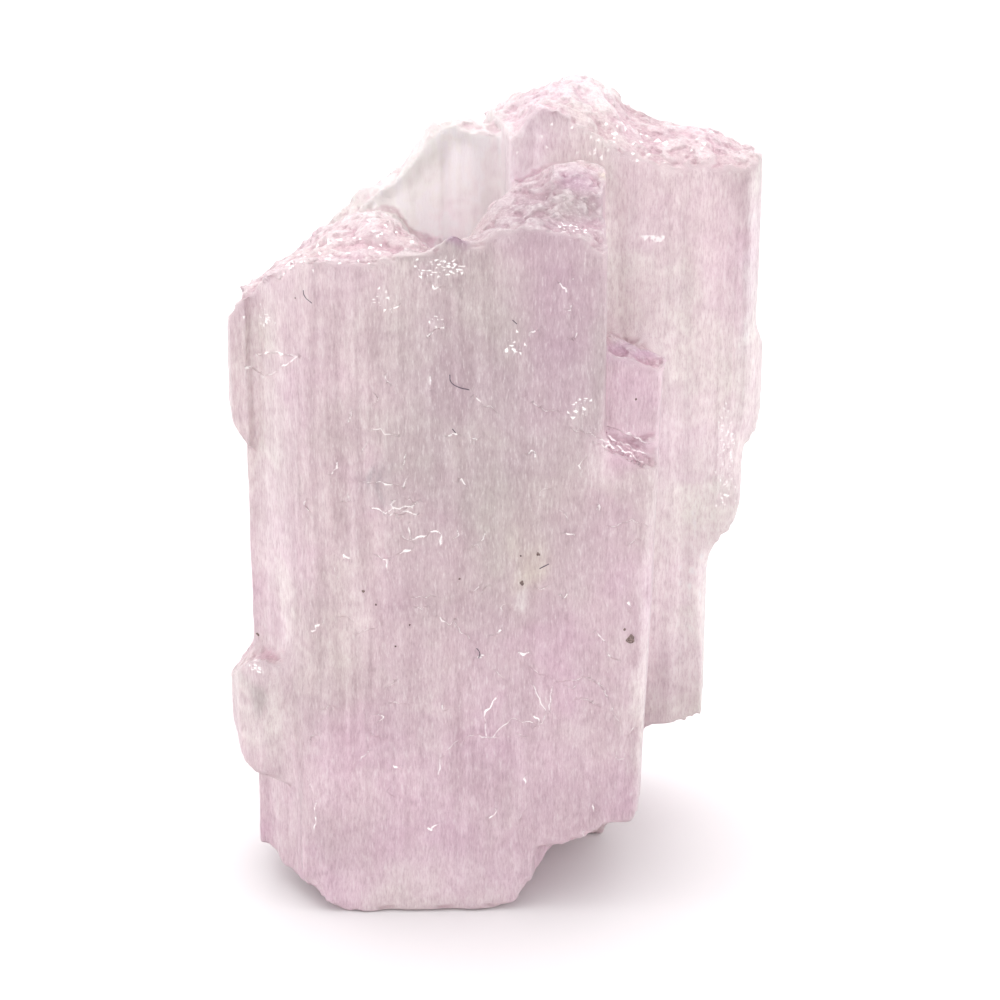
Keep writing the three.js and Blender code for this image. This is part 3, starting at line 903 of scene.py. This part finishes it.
def add_piece(name, mesh, material):
    """A loose piece that rides on the crystal."""
    piece = bpy.data.objects.new(name, mesh)
    bpy.context.scene.collection.objects.link(piece)
    write_places(mesh, read_vertices(mesh, "co"), cad_box)
    mesh.materials.clear()
    mesh.materials.append(material)
    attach(piece, "root")


def make_lint(tree):
    """Fibres of lint on the front face."""
    curves = bpy.data.curves.new("lint_lines", "CURVE")
    curves.dimensions = "3D"
    curves.bevel_depth = LINT_RADIUS
    curves.bevel_resolution = LINT_ROUNDNESS
    curves.use_fill_caps = True
    for line in LINT.values():
        spline = curves.splines.new("BEZIER")
        spline.bezier_points.add(len(line) - 1)
        for knot, spot in zip(spline.bezier_points, line):
            knot.co = on_front(tree, spot)
            knot.handle_left_type = "AUTO"
            knot.handle_right_type = "AUTO"
    drawn = bpy.data.objects.new("lint_lines", curves)
    bpy.context.scene.collection.objects.link(drawn)
    graph = bpy.context.evaluated_depsgraph_get()
    mesh = bpy.data.meshes.new_from_object(drawn.evaluated_get(graph))
    bpy.data.objects.remove(drawn)
    add_piece("lint", mesh, dust_material("lint", LINT_DARK, LINT_LIGHT))


def make_grit(tree):
    """Dark grains of grit on the front face."""
    work = bmesh.new()
    for spot, radius in GRIT.values():
        middle = on_front(tree, spot)
        ball = bmesh.ops.create_icosphere(work, subdivisions=GRIT_ROUNDNESS, radius=radius * MM)
        for corner in ball["verts"]:
            corner.co *= 1 + GRIT_LUMPS * noise.noise(corner.co / (radius * MM) + Vector(middle) / MM)
            corner.co.y *= GRIT_DEPTH
            corner.co += middle
    mesh = bpy.data.meshes.new("grit")
    work.to_mesh(mesh)
    work.free()
    add_piece("grit", mesh, dust_material("grit", GRIT_DARK, GRIT_LIGHT))


def make_floor():
    """The pale floor."""
    half = FLOOR_SIZE / 2
    corners = [(-half, -half), (half, -half), (half, half), (-half, half)]
    mesh = bpy.data.meshes.new("floor")
    mesh.from_pydata([(x, y, -FLOOR_DROP) for x, y in corners], [], [(0, 1, 2, 3)])
    floor = bpy.data.objects.new("floor", mesh)
    bpy.context.scene.collection.objects.link(floor)
    paper = bpy.data.materials.new("floor_paper")
    paper.use_nodes = True
    shader = paper.node_tree.nodes["Principled BSDF"]
    shader.inputs["Base Color"].default_value = (*FLOOR_COLOR, 1)
    shader.inputs["Roughness"].default_value = FLOOR_ROUGHNESS
    shader.inputs["Specular IOR Level"].default_value = FLOOR_SHINE
    mesh.materials.append(paper)


def make_tent():
    """Even light from all round, less of it from the front."""
    world = bpy.data.worlds.new("tent")
    world.use_nodes = True
    tree = world.node_tree
    way = tree.nodes.new("ShaderNodeTexCoord")
    parts = tree.nodes.new("ShaderNodeSeparateXYZ")
    tree.links.new(way.outputs["Generated"], parts.inputs["Vector"])
    light = ranged(tree, parts.outputs["Y"], FRONT_LEVELS, (FRONT_LIGHT, TENT_LIGHT), "SMOOTHSTEP")
    background = tree.nodes["Background"]
    background.inputs["Color"].default_value = (1, 1, 1, 1)
    tree.links.new(light, background.inputs["Strength"])
    bpy.context.scene.world = world


def make_panel():
    """A soft panel of light above the crystal."""
    data = bpy.data.lights.new("panel", "AREA")
    data.shape = "SQUARE"
    data.size = PANEL_SIZE
    data.energy = PANEL_WATTS
    panel = bpy.data.objects.new("panel", data)
    panel.location = PANEL_PLACE
    panel.rotation_euler = Vector(PANEL_PLACE).to_track_quat("Z", "Y").to_euler()
    bpy.context.scene.collection.objects.link(panel)


def make_camera():
    """The camera, at the photograph's viewing angle."""
    data = bpy.data.cameras.new("camera")
    data.lens = CAMERA_LENS
    data.sensor_width = CAMERA_SENSOR
    data.clip_start = CAMERA_NEAR
    camera = bpy.data.objects.new("camera", data)
    camera.location = CAMERA_PLACE
    camera.rotation_euler = (math.radians(90 - CAMERA_TILT), 0, 0)
    bpy.context.scene.collection.objects.link(camera)
    bpy.context.scene.camera = camera


def set_picture():
    """How light turns into picture: true colours, clean, and with deep paths through the crystal."""
    scene = bpy.context.scene
    scene.view_settings.view_transform = "Standard"
    scene.cycles.use_denoising = True
    for name, count in BOUNCES.items():
        setattr(scene.cycles, name, count)


make_camera()
make_floor()
make_tent()
make_panel()
set_picture()

surface = make_surface(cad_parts["crystal"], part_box("crystal"))
paint(surface.data)
surface.data.materials.clear()
surface.data.materials.append(crystal_material())
# The second material paints the glints on the flake rims and in the sparkling specks.
surface.data.materials.append(grainy_material("kunzite_glint", GLINT_MATERIAL_WHITE))
set_materials(surface.data)
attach(surface, "root")
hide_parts("crystal")
front = surface_tree(surface.data)
make_lint(front)
make_grit(front)
